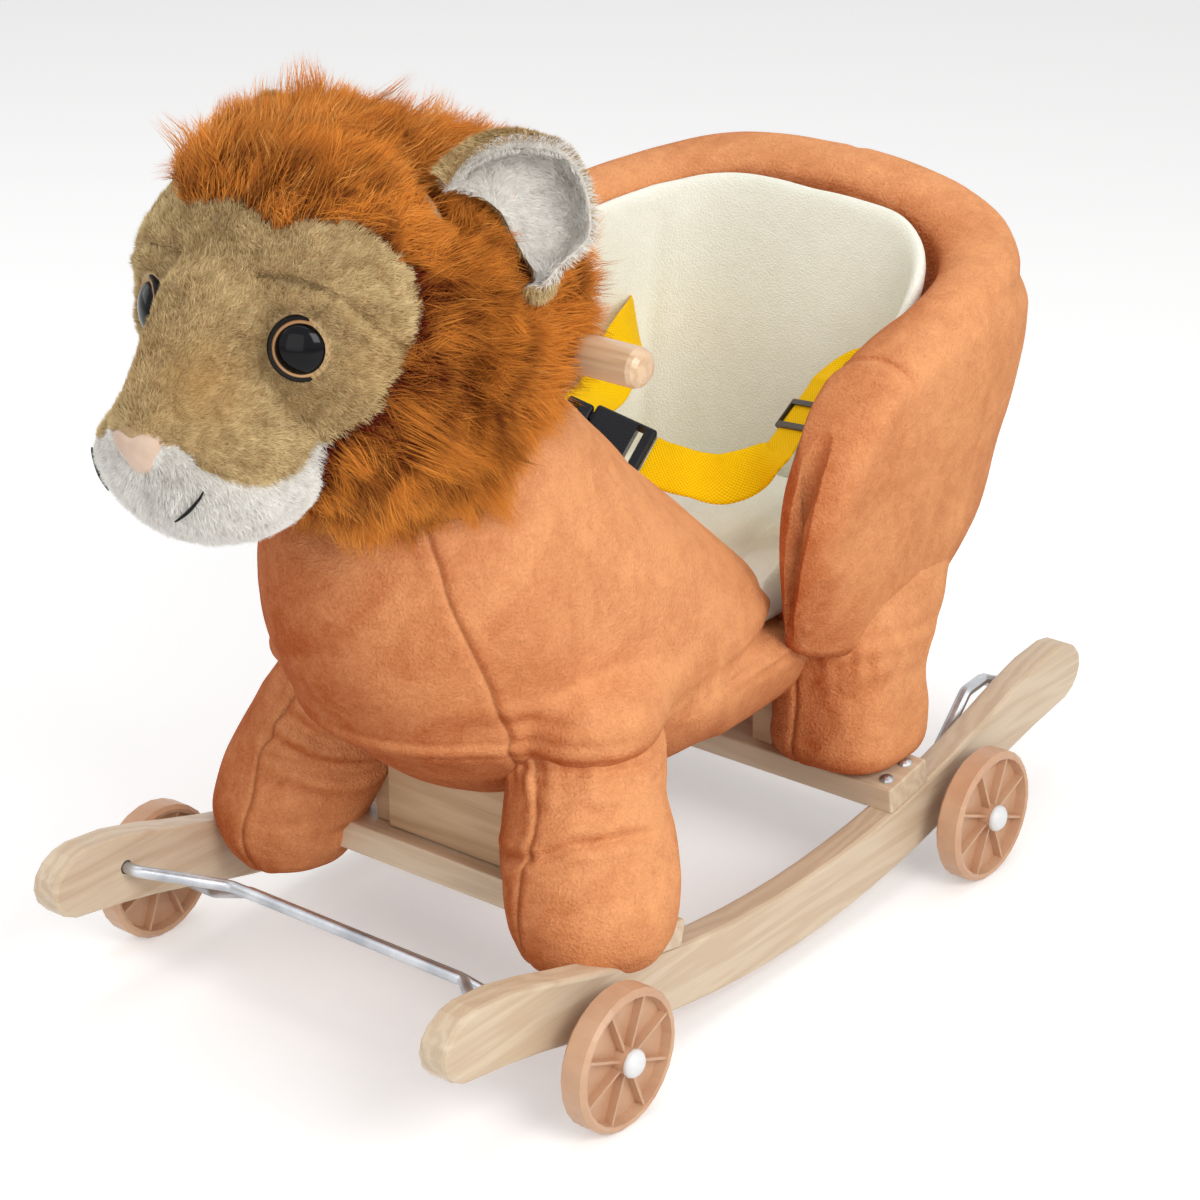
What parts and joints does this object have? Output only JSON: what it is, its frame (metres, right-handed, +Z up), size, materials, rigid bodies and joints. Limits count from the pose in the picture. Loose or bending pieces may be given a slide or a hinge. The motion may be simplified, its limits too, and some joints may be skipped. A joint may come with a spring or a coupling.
{
  "type": "rocking lion with wheels",
  "caption": "Stuffed orange lion with a shaggy mane, a padded tub seat and lap belt, on wooden bow rockers whose wheel carriers fold down for rolling.",
  "frame": {"origin": "on the floor under the middle of the toy's bounding box, with the wheels down", "axes": "the lion faces -Y, +Z is up, +X is the lion's left side"},
  "size_m": [0.3832, 0.685, 0.5464],
  "materials": {
    "beech": "sanded, clear satin lacquer",
    "buckle": "satin black moulding",
    "cap": "glossy white",
    "eye": "polished",
    "face": "medium-pile plush",
    "handle": "gloss lacquer",
    "lining": "woven cotton",
    "mane": "long-pile plush",
    "muzzle": "medium-pile plush",
    "nose": "smooth satin",
    "plush": "short-pile plush",
    "ply": "raw plywood",
    "steel": "zinc plated",
    "webbing": "woven webbing",
    "wheel": "satin moulded plastic, wood coloured"
  },
  "bodies": {
    "lion": {"apron_board": "ply", "belt_left": "webbing", "belt_right": "webbing", "buckle_socket": "buckle", "crossbar_front": "beech", "crossbar_rear": "beech", "ear_left": "face", "ear_right": "face", "eye_left": "eye", "eye_right": "eye", "handle": "handle", "head": "face", "leg_front_left": "plush", "leg_front_right": "plush", "leg_rear_left": "plush", "leg_rear_right": "plush", "mane": "mane", "muzzle": "muzzle", "neck_board": "ply", "nose": "nose", "post_front_left": "ply", "post_front_right": "ply", "post_rear_left": "ply", "post_rear_right": "ply", "rocker_left": "beech", "rocker_right": "beech", "screw_front_1": "steel", "screw_front_2": "steel", "screw_front_3": "steel", "screw_front_4": "steel", "screw_rear_1": "steel", "screw_rear_2": "steel", "screw_rear_3": "steel", "screw_rear_4": "steel", "seat_board": "ply", "seat_cushion": "lining", "seat_lining": "lining", "seat_shell": "plush", "torso": "plush"},
    "front_carrier": {"axle_front": "steel", "bail_front": "steel", "cap_front_left": "cap", "cap_front_right": "cap"},
    "rear_carrier": {"axle_rear": "steel", "bail_rear": "steel", "cap_rear_left": "cap", "cap_rear_right": "cap"},
    "wheel_front_left_body": {"wheel_front_left": "wheel"},
    "wheel_front_right_body": {"wheel_front_right": "wheel"},
    "wheel_rear_left_body": {"wheel_rear_left": "wheel"},
    "wheel_rear_right_body": {"wheel_rear_right": "wheel"},
    "buckle_tongue_body": {"buckle_tongue": "buckle"},
    "adjuster_body": {"belt_adjuster": "buckle"}
  },
  "joints": [
    {"name": "front_fold", "type": "hinge", "parent": "lion", "child": "front_carrier", "pos_m": [0, -0.2375, 0.082], "axis": [-1, 0, 0], "range_deg": [0, 270]},
    {"name": "rear_fold", "type": "hinge", "parent": "lion", "child": "rear_carrier", "pos_m": [0, 0.2865, 0.083], "axis": [1, 0, 0], "range_deg": [0, 255]},
    {"name": "wheel_front_left_spin", "type": "hinge", "parent": "front_carrier", "child": "wheel_front_left_body", "pos_m": [0.176, -0.1755, 0.042], "axis": [1, 0, 0], "continuous": true},
    {"name": "wheel_front_right_spin", "type": "hinge", "parent": "front_carrier", "child": "wheel_front_right_body", "pos_m": [-0.176, -0.1755, 0.042], "axis": [1, 0, 0], "continuous": true},
    {"name": "wheel_rear_left_spin", "type": "hinge", "parent": "rear_carrier", "child": "wheel_rear_left_body", "pos_m": [0.176, 0.1925, 0.042], "axis": [1, 0, 0], "continuous": true},
    {"name": "wheel_rear_right_spin", "type": "hinge", "parent": "rear_carrier", "child": "wheel_rear_right_body", "pos_m": [-0.176, 0.1925, 0.042], "axis": [1, 0, 0], "continuous": true},
    {"name": "buckle_release", "type": "slide", "parent": "lion", "child": "buckle_tongue_body", "axis": [-0.9001, -0.3, 0.316], "range_m": [0, 0.022]},
    {"name": "belt_adjust", "type": "slide", "parent": "lion", "child": "adjuster_body", "axis": [0.1371, 0.7463, 0.6513], "range_m": [-0.009, 0.009]}
  ]
}
